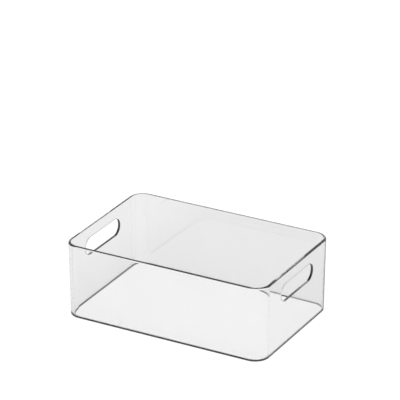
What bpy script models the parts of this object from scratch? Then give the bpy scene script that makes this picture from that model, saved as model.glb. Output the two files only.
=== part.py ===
"""Clear open-top storage bin for a fridge shelf, moulded in one piece.

The bin is a thin shell: a flat floor, four walls that lean out a little towards
the rim so that the moulding leaves its tool, rounded upright corners, and a
hand slot through each short end. The inside leans a little more than the
outside. It has no lid, no feet and nothing that moves.

X runs along the length, Y along the depth and Z up. The origin is the middle of
the flat underside. Lengths are in metres.
"""

import math

import bmesh
import bpy
from mathutils import Vector

# Driving sizes of the shell
BIN_LENGTH = 0.320  # outside, at the rim, along X
BIN_DEPTH = 0.211  # outside, at the rim, along Y
BIN_HEIGHT = 0.113
WALL_THICKNESS = 0.0036  # at the rim
FLOOR_THICKNESS = 0.0013
CORNER_RADIUS = 0.022  # outside, seen from above
INNER_CORNER_RADIUS = 0.0188  # inside, seen from above
BASE_EDGE_RADIUS = 0.0008  # outside, where the walls turn under
FLOOR_FILLET = 0.0025  # inside, where the walls meet the floor
RIM_OUTER_ROUNDING = 0.0025
RIM_INNER_ROUNDING = 0.0006
DRAFT_ANGLE = math.radians(0.65)  # of the outside
HOLLOW_DRAFT_ANGLE = math.radians(1.0)  # of the inside, so the walls thicken downwards

# Driving sizes of the two hand slots
SLOT_LENGTH = 0.096
SLOT_HEIGHT = 0.0260
SLOT_DROP = 0.0311  # from the rim down to the middle of the slot
SLOT_CHAMFER = 0.0006
CUT_OVERRUN = 0.0040  # how far a cutter runs past the wall on each side

# How finely the round stretches are divided
CORNER_STEPS = 10
EDGE_STEPS = 4
RIM_STEPS = 4
SLOT_STEPS = 14

# A ring deep inside the shell keeps at least this share of the corner radius
LEAST_RADIUS_SHARE = 0.2

CLEAR_PLASTIC = (0.90, 0.91, 0.92, 1.0)


def clear_scene():
    for existing in list(bpy.data.objects):
        bpy.data.objects.remove(existing, do_unlink=True)


def quarter_turn(steps):
    """Angles from 0 to 90 degrees, both included."""
    return [math.pi / 2 * step / steps for step in range(steps + 1)]


def outer_inset(height):
    """How far the walls' outside stands inside the rim's outline at this height."""
    return (BIN_HEIGHT - RIM_OUTER_ROUNDING - height) * math.tan(DRAFT_ANGLE)


def inner_inset(height):
    """How far the walls' inside stands inside the rim's outline at this height."""
    fall = BIN_HEIGHT - RIM_OUTER_ROUNDING - height
    return WALL_THICKNESS + fall * math.tan(HOLLOW_DRAFT_ANGLE)


def turn(inset, height, radius, side, rise, corner_radius, angles):
    """The stretch of the section where a wall's face turns into a level face.

    The wall's face ends at this inset and height. The turn draws it inwards
    (side 1) or back outwards (side -1), and up (rise 1) or down (rise -1).
    """
    stretch = []
    for angle in angles:
        drawn = side * radius * (1 - math.cos(angle))
        risen = rise * radius * math.sin(angle)
        stretch.append((inset + drawn, height + risen, corner_radius - drawn))
    return stretch


def shell_profile():
    """The wall's section as (inset from the rim's outline, height, corner radius).

    It starts under the floor, climbs the outside, goes over the rim and comes
    down the inside to the floor.
    """
    edge_turn = quarter_turn(EDGE_STEPS)
    rim_turn = quarter_turn(RIM_STEPS)
    base_start = BASE_EDGE_RADIUS
    outer_end = BIN_HEIGHT - RIM_OUTER_ROUNDING
    inner_end = BIN_HEIGHT - RIM_INNER_ROUNDING
    fillet_start = FLOOR_THICKNESS + FLOOR_FILLET
    base_edge = turn(
        outer_inset(base_start), base_start, BASE_EDGE_RADIUS, 1, -1, CORNER_RADIUS, edge_turn
    )
    rim_outside = turn(
        outer_inset(outer_end), outer_end, RIM_OUTER_ROUNDING, 1, 1, CORNER_RADIUS, rim_turn
    )
    rim_inside = turn(
        inner_inset(inner_end), inner_end, RIM_INNER_ROUNDING, -1, 1, INNER_CORNER_RADIUS, rim_turn
    )
    fillet = turn(
        inner_inset(fillet_start), fillet_start, FLOOR_FILLET, 1, -1, INNER_CORNER_RADIUS, edge_turn
    )
    return base_edge[::-1] + rim_outside + rim_inside[::-1] + fillet


def rounded_rectangle(inset, height, corner_radius):
    """The shell's outline seen from above, drawn in by the inset."""
    radius = max(corner_radius, CORNER_RADIUS * LEAST_RADIUS_SHARE)
    reach_x = BIN_LENGTH / 2 - inset - radius
    reach_y = BIN_DEPTH / 2 - inset - radius
    outline = []
    for corner, (side_x, side_y) in enumerate(((1, 1), (-1, 1), (-1, -1), (1, -1))):
        for angle in quarter_turn(CORNER_STEPS):
            turned = angle + corner * math.pi / 2
            outline.append(
                Vector(
                    (
                        side_x * reach_x + radius * math.cos(turned),
                        side_y * reach_y + radius * math.sin(turned),
                        height,
                    )
                )
            )
    return outline


def slot_outline(grow, along):
    """A long hole with half-round ends, standing across X at the place along."""
    radius = SLOT_HEIGHT / 2 + grow
    reach = (SLOT_LENGTH - SLOT_HEIGHT) / 2
    outline = []
    for side, start in ((1, -math.pi / 2), (-1, math.pi / 2)):
        for step in range(SLOT_STEPS + 1):
            angle = start + math.pi * step / SLOT_STEPS
            outline.append(
                Vector((along, side * reach + radius * math.cos(angle), radius * math.sin(angle)))
            )
    return outline


def loft(name, outlines):
    """A closed solid through a row of outlines that have equal point counts.

    The first outline is filled, and that face stays as one cap. A copy of it is
    extruded from outline to outline and ends up as the other cap.
    """
    mesh = bpy.data.meshes.new(name)
    solid = bpy.data.objects.new(name, mesh)
    bpy.context.collection.objects.link(solid)
    bm = bmesh.new()
    first_cap = bm.faces.new([bm.verts.new(point) for point in outlines[0]])
    cap = first_cap
    for outline in outlines[1:]:
        extruded = bmesh.ops.extrude_face_region(bm, geom=[cap])['geom']
        if cap is not first_cap:
            bmesh.ops.delete(bm, geom=[cap], context='FACES_ONLY')
        cap = next(item for item in extruded if isinstance(item, bmesh.types.BMFace))
        for corner, point in zip(cap.verts, outline):
            corner.co = point
    bmesh.ops.recalc_face_normals(bm, faces=bm.faces)
    bm.to_mesh(mesh)
    bm.free()
    return solid


def slot_cutter(name, side):
    """The cutter of one hand slot, square to the leaning end wall."""
    height = BIN_HEIGHT - SLOT_DROP
    half_wall = (inner_inset(height) - outer_inset(height)) / 2
    flare_start = half_wall - SLOT_CHAMFER
    flare_end = half_wall + CUT_OVERRUN
    widest = SLOT_CHAMFER + CUT_OVERRUN
    stations = ((-flare_end, widest), (-flare_start, 0), (flare_start, 0), (flare_end, widest))
    cutter = loft(name, [slot_outline(grow, along) for along, grow in stations])
    middle = BIN_LENGTH / 2 - outer_inset(height) - half_wall
    cutter.location = (side * middle, 0, height)
    cutter.rotation_euler = (0, side * DRAFT_ANGLE, 0)
    cutter.display_type = 'WIRE'
    cutter.hide_render = True
    return cutter


def cut(solid, cutter):
    boolean = solid.modifiers.new(cutter.name, 'BOOLEAN')
    boolean.operation = 'DIFFERENCE'
    boolean.solver = 'EXACT'
    boolean.object = cutter


def clear_plastic():
    material = bpy.data.materials.new('clear_plastic')
    material.use_nodes = True
    principled = material.node_tree.nodes['Principled BSDF']
    principled.inputs['Base Color'].default_value = CLEAR_PLASTIC
    principled.inputs['Roughness'].default_value = 0.04
    principled.inputs['Metallic'].default_value = 0.0
    principled.inputs['IOR'].default_value = 1.57
    principled.inputs['Transmission Weight'].default_value = 1.0
    return material


def build_bin_body():
    """The whole bin: floor, walls, corners and rim in one moulding."""
    outlines = [rounded_rectangle(*ring) for ring in shell_profile()]
    body = loft('bin_body', outlines)
    cut(body, slot_cutter('right_slot_cutter', 1))
    cut(body, slot_cutter('left_slot_cutter', -1))
    body.data.materials.append(clear_plastic())
    body.data.shade_smooth()
    body.data.set_sharp_from_angle(angle=math.radians(40))
    return body


clear_scene()
build_bin_body()
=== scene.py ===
# %% [markdown]
# # A clear storage bin for a fridge shelf
#
# The real bin is one moulding of clear, hard plastic: a floor, four walls that
# lean out a little towards the rim, rounded upright corners, and a hand slot
# through each short end. Nothing on it moves.
#
# Clear plastic has almost no colour of its own. What the eye reads as a bin is
# the way its edges bend light, so this lesson spends its effort on two things:
# a shell with a true wall and true small roundings, and a studio for the
# plastic to look at.

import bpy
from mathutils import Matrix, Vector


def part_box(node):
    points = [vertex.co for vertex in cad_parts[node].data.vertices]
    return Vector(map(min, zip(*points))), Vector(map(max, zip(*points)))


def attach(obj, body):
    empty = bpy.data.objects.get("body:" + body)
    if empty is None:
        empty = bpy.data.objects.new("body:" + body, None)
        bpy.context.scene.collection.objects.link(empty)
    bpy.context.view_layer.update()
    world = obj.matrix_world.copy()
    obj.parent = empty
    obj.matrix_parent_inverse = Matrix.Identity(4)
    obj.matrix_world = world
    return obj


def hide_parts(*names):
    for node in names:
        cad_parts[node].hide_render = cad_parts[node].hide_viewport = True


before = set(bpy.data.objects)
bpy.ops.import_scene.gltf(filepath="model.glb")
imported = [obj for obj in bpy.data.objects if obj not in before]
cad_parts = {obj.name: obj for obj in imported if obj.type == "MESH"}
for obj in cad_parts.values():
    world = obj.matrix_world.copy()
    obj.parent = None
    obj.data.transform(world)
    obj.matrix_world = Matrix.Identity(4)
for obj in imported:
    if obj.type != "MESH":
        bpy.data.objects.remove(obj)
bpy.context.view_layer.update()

# %% Modules
import math

import bmesh
import bpy
from mathutils import Matrix, Vector, geometry

# %% [markdown]
# ## Sizes
#
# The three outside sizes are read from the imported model, so the fine surface
# and the solid behind it can't drift apart. The wall, the roundings and the
# slots are the mould maker's own numbers. All of them are in metres.

# %% Outside sizes
MILLIMETRES = 1000


def in_mm(metres):
    """A length as text, for the prints."""
    return f"{metres * MILLIMETRES:.3g} mm"


lowest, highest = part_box("bin_body")
LENGTH, DEPTH, HEIGHT = highest - lowest
print("bin:", in_mm(LENGTH), "long,", in_mm(DEPTH), "deep,", in_mm(HEIGHT), "high")

# %% Walls and floor
WALL = 0.0036
FLOOR = 0.0013
CORNER_RADIUS = 0.022
INNER_RADIUS = 0.0188
OUTSIDE_LEAN = math.tan(math.radians(0.65))
INSIDE_LEAN = math.tan(math.radians(1.0))
thickest = WALL + (HEIGHT - FLOOR) * (INSIDE_LEAN - OUTSIDE_LEAN)
print("wall:", in_mm(WALL), "at the rim and", in_mm(thickest), "at the floor")

# %% [markdown]
# ## The block
#
# A moulder thinks of the bin as a block with a hollow in it. The block could be
# a rounded outline that is extruded upwards, but a cube is simpler to steer: its
# lower corners move in by the draft, the small slope that lets the moulding slip
# out of its tool, and its sides stay four flat faces, which the slots need.

# %% A cube with leaning sides
bm = bmesh.new()
bmesh.ops.create_cube(bm, size=1)
bmesh.ops.scale(bm, vec=(LENGTH, DEPTH, HEIGHT), verts=bm.verts)
bmesh.ops.translate(bm, vec=(0, 0, HEIGHT / 2), verts=bm.verts)

for corner in bm.verts:
    inward = (HEIGHT - corner.co.z) * OUTSIDE_LEAN
    corner.co.x -= math.copysign(inward, corner.co.x)
    corner.co.y -= math.copysign(inward, corner.co.y)

print("draft: the block's foot is", in_mm(HEIGHT * OUTSIDE_LEAN), "in on every side")

# %% [markdown]
# ## The upright corners
#
# Seen from above, the real bin has wide round corners. A bevel on the four
# upright edges makes them. It has many segments, because clear plastic shows
# every facet as a stripe. The same helper rounds all the other edges later on.

# %% Round the upright corners
CORNER_SEGMENTS = 28


def round_off(edges, width, segments):
    bmesh.ops.bevel(
        bm,
        geom=edges,
        offset=width,
        offset_type='OFFSET',
        affect='EDGES',
        segments=segments,
        profile=0.5,
        material=-1,
    )


def is_upright(edge):
    first, second = edge.verts
    return abs(first.co.z - second.co.z) > HEIGHT / 2


round_off([edge for edge in bm.edges if is_upright(edge)], CORNER_RADIUS, CORNER_SEGMENTS)
print("block:", len(bm.faces), "faces")

# %% [markdown]
# ## The hollow
#
# The inside of the real bin is the print of the mould's core. The core leans
# more than the outside, so that the bin lets go of it first, and the walls get
# a little thicker towards the floor. A Solidify modifier would give one
# thickness everywhere, so the hollow is sunk by hand. The top face is inset by
# the wall's thickness, and what is left of it is the mouth of the hollow.

# %% Inset the top face
top = max(bm.faces, key=lambda face: face.calc_center_median().z)
bmesh.ops.inset_region(bm, faces=[top], thickness=WALL, use_even_offset=True)
print("mouth of the hollow:", len(top.verts), "corners")

# %% [markdown]
# ## Round corners of the inside
#
# An inset draws all the corner arcs round the same centres as the outside. The
# real core has a corner radius of its own, a little larger, so the corners are a
# trace thicker than the walls. In clear plastic that trace is enough to bend the
# light aside, and it draws the fine dark line down the bin's outline. Each arc
# is scaled about its centre and then moved, so that it still meets the same two
# straight sides.

# %% Give the inside its own corner radius
def reshape_corner(points, side_x, side_y, radius):
    """Gives the arc that these points draw a new radius, with its sides kept in place."""
    old_radius = CORNER_RADIUS - WALL
    corner = Vector((side_x * (LENGTH / 2 - WALL), side_y * (DEPTH / 2 - WALL), 0))
    inward = Vector((-side_x, -side_y, 0))
    old_centre = corner + inward * old_radius
    new_centre = corner + inward * radius
    bmesh.ops.scale(
        bm,
        vec=(radius / old_radius, radius / old_radius, 1),
        space=Matrix.Translation(-old_centre),
        verts=points,
    )
    bmesh.ops.translate(bm, vec=new_centre - old_centre, verts=points)


for side_x in (1, -1):
    for side_y in (1, -1):
        arc = [
            point
            for point in top.verts
            if point.co.x * side_x > 0 and point.co.y * side_y > 0
        ]
        reshape_corner(arc, side_x, side_y, INNER_RADIUS)

print("corners: radius", in_mm(INNER_RADIUS), "inside and", in_mm(CORNER_RADIUS), "outside")

# %% [markdown]
# ## Down to the floor
#
# The mouth is extruded and pushed down to the floor, and it shrinks on the way
# by the core's lean. Extruding keeps the old face as a lid, so the lid is
# deleted. It goes without its edges, because the rim needs those.

# %% Sink the hollow
sunk = bmesh.ops.extrude_face_region(bm, geom=[top])
bmesh.ops.delete(bm, geom=[top], context='FACES_ONLY')
floor_corners = [item for item in sunk["geom"] if isinstance(item, bmesh.types.BMVert)]
fall = HEIGHT - FLOOR
half_x = LENGTH / 2 - WALL
half_y = DEPTH / 2 - WALL
bmesh.ops.scale(
    bm,
    vec=(1 - fall * INSIDE_LEAN / half_x, 1 - fall * INSIDE_LEAN / half_y, 1),
    verts=floor_corners,
)
bmesh.ops.translate(bm, vec=(0, 0, -fall), verts=floor_corners)
print("hollow:", len(floor_corners), "corners round the floor")

# %% [markdown]
# ## The hand slots
#
# Each slot takes four fingers: a long hole with half-round ends through the end
# wall. A Boolean with a rounded bar would cut it, but its edges come out uneven
# and round off badly. So the hole is drawn the way one would with a compass: a
# point spun half a turn makes one end, another point makes the other end, and
# two straight edges join them.

# %% Sizes of a slot
SLOT_LENGTH = 0.096
SLOT_HEIGHT = 0.0260
SLOT_DROP = 0.0311
SLOT_SEGMENTS = 28
slot_middle = HEIGHT - SLOT_DROP
slot_radius = SLOT_HEIGHT / 2
slot_reach = SLOT_LENGTH / 2 - slot_radius
print("slot:", in_mm(SLOT_LENGTH), "long and", in_mm(SLOT_HEIGHT), "high")


# %% Half a circle by spinning a point
def half_round(side):
    """Half a circle of edges at one end of the slot, as its first and last point."""
    centre = Vector((0, side * slot_reach, slot_middle))
    start = bm.verts.new(centre - side * Vector((0, 0, slot_radius)))
    spun = bmesh.ops.spin(
        bm,
        geom=[start],
        cent=centre,
        axis=(1, 0, 0),
        angle=math.pi,
        steps=SLOT_SEGMENTS,
        use_merge=False,
    )
    last = next(item for item in spun["geom_last"] if isinstance(item, bmesh.types.BMVert))
    return start, last


print("half a circle:", SLOT_SEGMENTS, "edges")


# %% All the edges of a loop
def edges_through(start):
    """All the edges that can be reached along a loop from one point, in a fixed order."""
    found, waiting = [], [start]
    while waiting:
        for edge in waiting.pop().link_edges:
            if edge not in found:
                found.append(edge)
                waiting.extend(edge.verts)
    return found


print("a slot's outline:", 2 * SLOT_SEGMENTS + 2, "edges")

# %% [markdown]
# ## Laying the outline on the wall
#
# The wall leans, and its outside and inside lean differently. So every point of
# the outline slides along X until it meets the plane of the face that it is for.
# That face is then deleted, and a fill between its border and the outline puts
# it back with a hole in it.

# %% Lay the outline on a face and open it
ALONG_X = Vector((1, 0, 0))
print("the slot's middle is", in_mm(slot_middle), "above the foot")


def slot_loop(face):
    """A slot's outline, laid on the plane of this face."""
    first_start, first_end = half_round(1)
    second_start, second_end = half_round(-1)
    bm.edges.new((first_end, second_start))
    bm.edges.new((second_end, first_start))
    loop = edges_through(first_start)
    for point in {point for edge in loop for point in edge.verts}:
        point.co = geometry.intersect_line_plane(
            point.co, point.co + ALONG_X, face.verts[0].co, face.normal
        )
    return loop


def open_face(face):
    """Replaces a flat face by the same face with a slot in it."""
    loop = slot_loop(face)
    border = list(face.edges)
    bmesh.ops.delete(bm, geom=[face], context='FACES_ONLY')
    bmesh.ops.triangle_fill(bm, use_beauty=True, edges=border + loop)
    return loop


# %% [markdown]
# ## Through the wall
#
# An end wall has two large faces that look along X, one outside and one inside.
# Both are opened, and the two outlines are bridged, which makes the tunnel.

# %% Cut both slots
LOOKS_ALONG_X = 0.9


def end_wall_faces(side):
    """The outer and the inner face of the end wall on this side."""
    return [
        face
        for face in bm.faces
        if abs(face.normal.x) > LOOKS_ALONG_X
        and face.calc_area() > DEPTH * HEIGHT / 2
        and side * face.calc_center_median().x > 0
    ]


bm.normal_update()
slot_edges = []
for side in (1, -1):
    loops = [open_face(face) for face in end_wall_faces(side)]
    bmesh.ops.bridge_loops(bm, edges=loops[0] + loops[1])
    slot_edges += loops[0] + loops[1]
    print("slot on side", side, "cut through", len(loops), "faces")

# %% [markdown]
# ## Small roundings
#
# No moulded edge is sharp. In clear plastic these narrow curves are the dark
# lines that draw the whole shape: they turn through a quarter of a circle within
# a millimetre or two, so they squeeze a view of the whole room, its dark ceiling
# too, into a thin line. Their widths are looks, and they follow the photograph.
# The rim is rounded widely on its outside and hardly at all on its inside, which
# gives one bold line. The edge under the bin is small. The fillet where the
# walls meet the floor is wider, since molten plastic can't turn a sharp corner.

# %% Widths of the roundings
SLOT_ROUNDING = 0.0008
BASE_ROUNDING = 0.0008
FLOOR_FILLET = 0.0025
RIM_OUTSIDE = 0.0025
RIM_INSIDE = 0.0006
rim_flat = WALL - RIM_OUTSIDE - RIM_INSIDE
print("rim:", in_mm(rim_flat), "stays flat between its two roundings")

# %% [markdown]
# ## Finding the edges
#
# The edges at one height are the ones to round together, and a fold of at least
# 45 degrees tells them from the flat seams that the fill left. The rim has two
# rows of edges at the same height. The wall beside the outer row looks away from
# the middle of the bin, and the wall beside the inner row looks towards it.

# %% Pick edges by their place
SHARP_FOLD = math.radians(45)
SAME_HEIGHT = RIM_INSIDE / 10
FACES_OUT = 0.1


def level_edges(height):
    """The sharp edges that lie at this height."""
    return [
        edge
        for edge in bm.edges
        if all(abs(point.co.z - height) < SAME_HEIGHT for point in edge.verts)
        and edge.calc_face_angle(0) > SHARP_FOLD
    ]


def looks_outwards(edge):
    """Whether this rim edge borders a wall that faces away from the middle."""
    across = edge.verts[0].co + edge.verts[1].co
    across.z = 0
    return any(face.normal.dot(across.normalized()) > FACES_OUT for face in edge.link_faces)


bmesh.ops.recalc_face_normals(bm, faces=bm.faces)
print("base:", len(level_edges(0)), "edges, rim:", len(level_edges(HEIGHT)), "edges")

# %% Round the slots, the floor and the base
WIDE_SEGMENTS = 8
NARROW_SEGMENTS = 5
SLOT_EDGE_SEGMENTS = 4

round_off(slot_edges, SLOT_ROUNDING, SLOT_EDGE_SEGMENTS)
round_off(level_edges(FLOOR), FLOOR_FILLET, WIDE_SEGMENTS)
round_off(level_edges(0), BASE_ROUNDING, WIDE_SEGMENTS)
print("shell so far:", len(bm.faces), "faces")

# %% Round the rim
rim_outside = [edge for edge in level_edges(HEIGHT) if looks_outwards(edge)]
round_off(rim_outside, RIM_OUTSIDE, WIDE_SEGMENTS)
rim_inside = [edge for edge in level_edges(HEIGHT) if not looks_outwards(edge)]
round_off(rim_inside, RIM_INSIDE, NARROW_SEGMENTS)
bmesh.ops.recalc_face_normals(bm, faces=bm.faces)
open_edges = [edge for edge in bm.edges if not edge.is_manifold]
print("shell:", len(bm.faces), "faces,", len(open_edges), "open edges")

# %% [markdown]
# ## From mesh data to an object
#
# The large flat faces must stay dead flat to the eye, and the roundings beside
# them smooth. Smooth shading alone would bend the flats towards the corners. A
# Weighted Normal modifier lets the big faces decide, and it changes no point.

# %% The finished shell
MOST_WEIGHT = 50

mesh = bpy.data.meshes.new("clear_bin")
bm.to_mesh(mesh)
bm.free()
mesh.shade_smooth()
clear_bin = bpy.data.objects.new("clear_bin", mesh)
bpy.context.scene.collection.objects.link(clear_bin)

weighted = clear_bin.modifiers.new("keep_flats_flat", 'WEIGHTED_NORMAL')
weighted.mode = 'FACE_AREA'
weighted.weight = MOST_WEIGHT
weighted.keep_sharp = True
print("clear_bin:", len(mesh.vertices), "points")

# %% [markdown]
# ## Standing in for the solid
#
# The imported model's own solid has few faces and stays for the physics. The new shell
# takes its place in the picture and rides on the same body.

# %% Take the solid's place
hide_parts("bin_body")
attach(clear_bin, "root")
print("clear_bin stands in for bin_body")

# %% [markdown]
# ## Clear plastic
#
# A Glass shader would do for a start, but the Principled one keeps its meaning
# when the model is exported. Its refractive index is that of PET, and nearly
# all of the light goes through. The small rest is scattered at the surface, as
# on any plastic that has been handled, and keeps the darkest lines at a dark
# grey. A little more is lost on the way through, which is a Volume Absorption
# inside the shell: a wall takes two per cent, but light that runs along inside
# the wall up to the rim has come a long way and half of it is gone. That is one
# reason why the edges of clear sheet look dark.

# %% The plastic's material
PLASTIC_IOR = 1.57
CLEARNESS = 0.985
ABSORPTION_COLOUR = (0.80, 0.80, 0.80, 1)
ABSORPTION_DENSITY = 30

plastic = bpy.data.materials.new("clear_plastic")
plastic.use_nodes = True
nodes, links = plastic.node_tree.nodes, plastic.node_tree.links
shader = nodes["Principled BSDF"]
shader.inputs["IOR"].default_value = PLASTIC_IOR
shader.inputs["Transmission Weight"].default_value = CLEARNESS

absorption = nodes.new('ShaderNodeVolumeAbsorption')
absorption.inputs["Color"].default_value = ABSORPTION_COLOUR
absorption.inputs["Density"].default_value = ABSORPTION_DENSITY
links.new(absorption.outputs["Volume"], nodes["Material Output"].inputs["Volume"])

clear_bin.data.materials.append(plastic)
kept = math.exp(-ABSORPTION_DENSITY * (1 - ABSORPTION_COLOUR[0]) * WALL)
print(f"a wall lets {kept:.0%} of the light through, apart from its reflections")

# %% [markdown]
# ## What the mould and the hands leave on it
#
# A polished moulding isn't optically perfect. Its faces keep slow waves a few
# centimetres long, where the plastic shrank in the mould, and a very fine haze
# from wiping and stacking. An image could carry both, but a noise needs no
# picture and no unwrapping. It reads Object coordinates, so it stays on the bin
# from every side.

# %% A cloudy pattern and a change of range
place = nodes.new('ShaderNodeTexCoord').outputs["Object"]
print("patterns read", place.name, "coordinates")


def noise(per_metre, detail):
    """A cloudy pattern of numbers round 0.5 with this many patches in a metre."""
    pattern = nodes.new('ShaderNodeTexNoise')
    pattern.inputs["Scale"].default_value = per_metre
    pattern.inputs["Detail"].default_value = detail
    links.new(place, pattern.inputs["Vector"])
    return pattern.outputs[0]


RANGE_ENDS = ("From Min", "From Max", "To Min", "To Max")


def spread(value, start, end, to_start, to_end):
    """Maps the numbers from start to end onto another range, and stops at both ends."""
    ranged = nodes.new('ShaderNodeMapRange')
    for socket, number in zip(RANGE_ENDS, (start, end, to_start, to_end)):
        ranged.inputs[socket].default_value = number
    links.new(value, ranged.inputs["Value"])
    return ranged.outputs["Result"]


# %% [markdown]
# ## Waves
#
# The waves go into the Bump node, at a tenth of a millimetre, and that is enough
# to make the dark lines run a little unevenly, as on a real moulding. They go
# into the tint too, hardly visible: the plastic is a trace greyer where it is
# thicker.

# %% Slow waves in the bump and the tint
WAVES_PER_METRE = 16
WAVE_DETAIL = 1
WAVE_HEIGHT = 0.00012
WAVE_TROUGH = 0.3
WAVE_CREST = 0.7
FAINTEST_TINT = 0.990

waves = noise(WAVES_PER_METRE, WAVE_DETAIL)
bump = nodes.new('ShaderNodeBump')
bump.inputs["Distance"].default_value = WAVE_HEIGHT
links.new(waves, bump.inputs["Height"])
links.new(bump.outputs[0], shader.inputs["Normal"])
tint = spread(waves, WAVE_TROUGH, WAVE_CREST, FAINTEST_TINT, 1)
links.new(tint, shader.inputs["Base Color"])
print("waves:", in_mm(1 / WAVES_PER_METRE), "long and", in_mm(WAVE_HEIGHT), "high")

# %% [markdown]
# ## Haze and scuffs
#
# The haze goes into the roughness: fine clouds between a polished surface and a
# nearly polished one. The lowest few millimetres are rougher, because there the
# bin slides on its shelf. At each place the rougher of the two is what counts,
# which is a Math node set to Maximum.

# %% A Math node in one line
def calculate(operation, first, second):
    """A Math node in the material that is being built; it takes numbers or sockets."""
    node = nodes.new('ShaderNodeMath')
    node.operation = operation
    for socket, value in zip(node.inputs, (first, second)):
        if isinstance(value, (int, float)):
            socket.default_value = value
        else:
            links.new(value, socket)
    return node.outputs[0]


print("nodes in the plastic so far:", len(nodes))

# %% Haze and scuffs in the roughness
HAZE_PER_METRE = 350
HAZE_DETAIL = 3
HAZE_THIN = 0.35
HAZE_THICK = 0.65
CLEAREST = 0.005
HAZIEST = 0.045
SCUFFED = 0.10
SCUFF_HEIGHT = 0.004

haze = noise(HAZE_PER_METRE, HAZE_DETAIL)
hazy = spread(haze, HAZE_THIN, HAZE_THICK, CLEAREST, HAZIEST)
above_shelf = nodes.new('ShaderNodeSeparateXYZ')
links.new(place, above_shelf.inputs[0])
scuffs = spread(above_shelf.outputs["Z"], 0, SCUFF_HEIGHT, SCUFFED, 0)
links.new(calculate('MAXIMUM', scuffs, hazy), shader.inputs["Roughness"])
print("roughness:", CLEAREST, "to", HAZIEST, "and", SCUFFED, "at the foot")

# %% [markdown]
# ## The studio floor
#
# Things like this are photographed on a sheet of white that runs on out of the picture.
# Here it is one large square, a hair below the bin's foot.

# %% A large sheet to stand on
SHEET_SIZE = 60
HAIR = 0.0002

sheet_shape = bmesh.new()
bmesh.ops.create_grid(sheet_shape, x_segments=1, y_segments=1, size=SHEET_SIZE / 2)
bmesh.ops.translate(sheet_shape, vec=(0, 0, -HAIR), verts=sheet_shape.verts)
sheet_mesh = bpy.data.meshes.new("studio_floor")
sheet_shape.to_mesh(sheet_mesh)
sheet_shape.free()
studio_floor = bpy.data.objects.new("studio_floor", sheet_mesh)
bpy.context.scene.collection.objects.link(studio_floor)
print("studio floor:", SHEET_SIZE, "m square")

# %% [markdown]
# ## Three kinds of light path
#
# The Light Path node says what sort of ray is asking. The camera's own rays want
# a white background. Rays that come mirrored or bent from the plastic want the
# pale studio that gives clear plastic its greys. All other rays carry light onto
# the object, and they get plain matt paint and plain daylight, so the bin is lit
# no brighter than it would be in a room. A ray that matt paint has scattered on
# its way belongs to these too, which is what Diffuse Depth tells.

# %% Tell the rays apart
floor_paint = bpy.data.materials.new("pale_floor")
floor_paint.use_nodes = True
nodes, links = floor_paint.node_tree.nodes, floor_paint.node_tree.links
nodes.clear()


FIRST_SCATTERING = 1


def seen_by_plastic():
    """1 for rays that come mirrored or bent from the plastic, and 0 for all others."""
    path = nodes.new('ShaderNodeLightPath').outputs
    from_plastic = calculate('MAXIMUM', path["Is Glossy Ray"], path["Is Transmission Ray"])
    unscattered = calculate('LESS_THAN', path["Diffuse Depth"], FIRST_SCATTERING)
    return calculate('MULTIPLY', from_plastic, unscattered)


by_camera = nodes.new('ShaderNodeLightPath').outputs["Is Camera Ray"]
by_plastic = seen_by_plastic()
print("rays told apart with", len(nodes), "nodes")

# %% [markdown]
# ## The floor's paint
#
# The paint mixes a matt part with a glow. Seen by the camera, the glow is white
# and takes four fifths, and the matt part keeps the bin's soft shadow. Seen by
# the plastic, the glow is a pale grey.

# %% The matt part
PALE_FLOOR = 0.82

matt = nodes.new('ShaderNodeBsdfDiffuse')
matt.inputs["Color"].default_value = (PALE_FLOOR, PALE_FLOOR, PALE_FLOOR, 1)
print("matt part:", PALE_FLOOR)

# %% [markdown]
# ## Two brighter places
#
# The photograph shows the bin's floor brighter than its walls, and its left end a little
# brighter than the rest, as if a lamp stood there. Painted light on the sheet gives both,
# where a lamp would change the light on the object. The sheet glows more below the bin, up
# to just inside the base line, which is painted light seen through the bin's floor. It
# glows a little more in a painted pool of light beside the left end. Both places are fixed
# to the sheet, so they look right from any side.

# %% Painted light below the bin
BELOW_PAINTED_LIGHT = 0.275
FADE = 0.007

on_floor = nodes.new('ShaderNodeSeparateXYZ')
links.new(nodes.new('ShaderNodeTexCoord').outputs["Object"], on_floor.inputs[0])


def painted_light_footprint(axis, rim_reach):
    """Mask of the painted light: 1 below the bin and 0 beside it, along one axis; the foot
    is smaller than the rim.
    """
    foot_reach = rim_reach - HEIGHT * OUTSIDE_LEAN - BASE_ROUNDING
    away = calculate('ABSOLUTE', on_floor.outputs[axis], 0)
    return spread(away, foot_reach - FADE, foot_reach, 1, 0)


# Painted light below the bin: extra glow on the sheet, seen only by rays from the plastic.
below = calculate('MULTIPLY', painted_light_footprint("X", LENGTH / 2), painted_light_footprint("Y", DEPTH / 2))
below_painted_light = calculate('MULTIPLY', below, BELOW_PAINTED_LIGHT)
print("below the bin:", BELOW_PAINTED_LIGHT, "more")

# %% A painted pool of light beside the left end
POOL_PAINTED_LIGHT = 0.07
POOL_STARTS = -0.14
POOL_FULL = -0.24

# A painted pool of light on the sheet beside the left end, seen only by rays from the
# plastic.
painted_light_pool = spread(on_floor.outputs["X"], POOL_STARTS, POOL_FULL, 0, POOL_PAINTED_LIGHT)
both_painted_lights = calculate('ADD', below_painted_light, painted_light_pool)
print("beside the left end:", POOL_PAINTED_LIGHT, "more")

# %% How strongly the paint glows
WHITE_GLOW = 1.15
PALE_GLOW = 0.855

white_seen = calculate('MULTIPLY', by_camera, WHITE_GLOW)
# The plastic sees the pale sheet plus both places of painted light.
pale_seen = calculate('MULTIPLY', by_plastic, calculate('ADD', both_painted_lights, PALE_GLOW))
glow = nodes.new('ShaderNodeEmission')
links.new(calculate('ADD', white_seen, pale_seen), glow.inputs["Strength"])
print("glow:", WHITE_GLOW, "for the camera,", PALE_GLOW, "for the plastic")

# %% Mix the paint and lay it on the floor
WHITE_SHARE = 0.80
PALE_SHARE = 0.85

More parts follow.
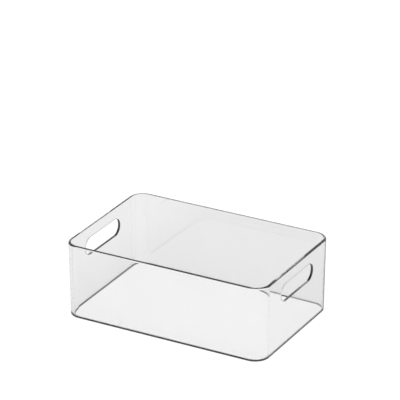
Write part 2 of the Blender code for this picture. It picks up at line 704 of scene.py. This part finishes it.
white_share = calculate('MULTIPLY', by_camera, WHITE_SHARE)
pale_share = calculate('MULTIPLY', by_plastic, PALE_SHARE)
paint = nodes.new('ShaderNodeMixShader')
links.new(calculate('ADD', white_share, pale_share), paint.inputs[0])
links.new(matt.outputs[0], paint.inputs[1])
links.new(glow.outputs[0], paint.inputs[2])
output = nodes.new('ShaderNodeOutputMaterial')
links.new(paint.outputs[0], output.inputs["Surface"])
studio_floor.data.materials.append(floor_paint)
print("share of the glow:", WHITE_SHARE, "for the camera,", PALE_SHARE, "for the plastic")

# %% [markdown]
# ## The room
#
# Plain white light from all round would light clear plastic well and show it
# badly, because a mirror in an even room shows nothing. A photographer lights the
# walls of the room and leaves its ceiling dark. The large faces of the bin mirror
# the even walls, and its roundings sweep from there up into the dark, which draws
# them as lines.
#
# A dark board overhead could be one more mesh, but it would shade the object too.
# So the room is a world with two faces. Most rays get plain white of strength 1.
# Rays from the plastic get a glow that depends on how high they look: even walls
# up to 30 degrees, and from about 49 degrees a dark ceiling. It is the same all
# the way round, so it looks right from every side. For a world, the Generated output
# of Texture Coordinate is the direction of the ray, and its Z is the sine of the
# angle above the horizon.

# %% Glow by height
WALLS_GLOW = 0.88
CEILING_GLOW = 0.10
WALLS_END = math.sin(math.radians(30))
CEILING_STARTS = math.sin(math.radians(48.6))

room = bpy.data.worlds.new("studio_room")
bpy.context.scene.world = room
room.use_nodes = True
nodes, links = room.node_tree.nodes, room.node_tree.links
nodes.clear()

direction = nodes.new('ShaderNodeSeparateXYZ')
links.new(nodes.new('ShaderNodeTexCoord').outputs["Generated"], direction.inputs[0])
rise = direction.outputs["Z"]
height_glow = spread(rise, WALLS_END, CEILING_STARTS, WALLS_GLOW, CEILING_GLOW)
print("glow: walls", WALLS_GLOW, "and ceiling", CEILING_GLOW)


# %% Two faces of the room
def white_background():
    """A Background node of plain white; its strength is 1 until something is linked."""
    background = nodes.new('ShaderNodeBackground')
    background.inputs["Color"].default_value = (1, 1, 1, 1)
    return background


shown_to_plastic = white_background()
links.new(height_glow, shown_to_plastic.inputs["Strength"])
chosen = nodes.new('ShaderNodeMixShader')
links.new(seen_by_plastic(), chosen.inputs[0])
links.new(white_background().outputs[0], chosen.inputs[1])
links.new(shown_to_plastic.outputs[0], chosen.inputs[2])
output = nodes.new('ShaderNodeOutputWorld')
links.new(chosen.outputs[0], output.inputs["Surface"])
print("room:", room.name)

# %% [markdown]
# ## The camera
#
# The photograph looks down at the bin by 24 degrees, from 29 degrees to the
# right of its long side. Its parallel edges hardly draw together, so it was
# taken from far away with a long lens. The camera could be aimed with a
# constraint, but three directions at right angles say the same without one:
# backwards from the bin to the camera, rightwards, and upwards. The point that
# it aims at lies above the bin, because the photograph leaves more room there.

# %% Where the camera looks from
AZIMUTH = math.radians(28.86)
ELEVATION = math.radians(24.17)

backwards = Vector(
    (
        math.sin(AZIMUTH) * math.cos(ELEVATION),
        -math.cos(AZIMUTH) * math.cos(ELEVATION),
        math.sin(ELEVATION),
    )
)
rightwards = Vector((math.cos(AZIMUTH), math.sin(AZIMUTH), 0))
upwards = backwards.cross(rightwards)
print("towards the camera:", [f"{part:.3f}" for part in backwards])

# %% Set up the camera
DISTANCE = 4.000
LENS = 252.2
AIM_ASIDE = 0.0036
AIM_ABOVE = 0.1069

middle = Vector((0, 0, HEIGHT / 2))
aim = middle + rightwards * AIM_ASIDE + upwards * AIM_ABOVE
turned = Matrix((rightwards, upwards, backwards)).transposed().to_4x4()
camera_data = bpy.data.cameras.new("camera")
camera_data.lens = LENS
camera = bpy.data.objects.new("camera", camera_data)
camera.matrix_world = Matrix.Translation(aim + backwards * DISTANCE) @ turned
bpy.context.scene.collection.objects.link(camera)
bpy.context.scene.camera = camera
print("camera:", DISTANCE, "m away with a lens of", LENS, "mm")

# %% [markdown]
# ## Plain colours
#
# The Standard view shows each colour as it is written. The richer views would
# turn the white background grey.

# %% Show colours as they are
bpy.context.scene.view_settings.view_transform = 'Standard'
print("view:", bpy.context.scene.view_settings.view_transform)
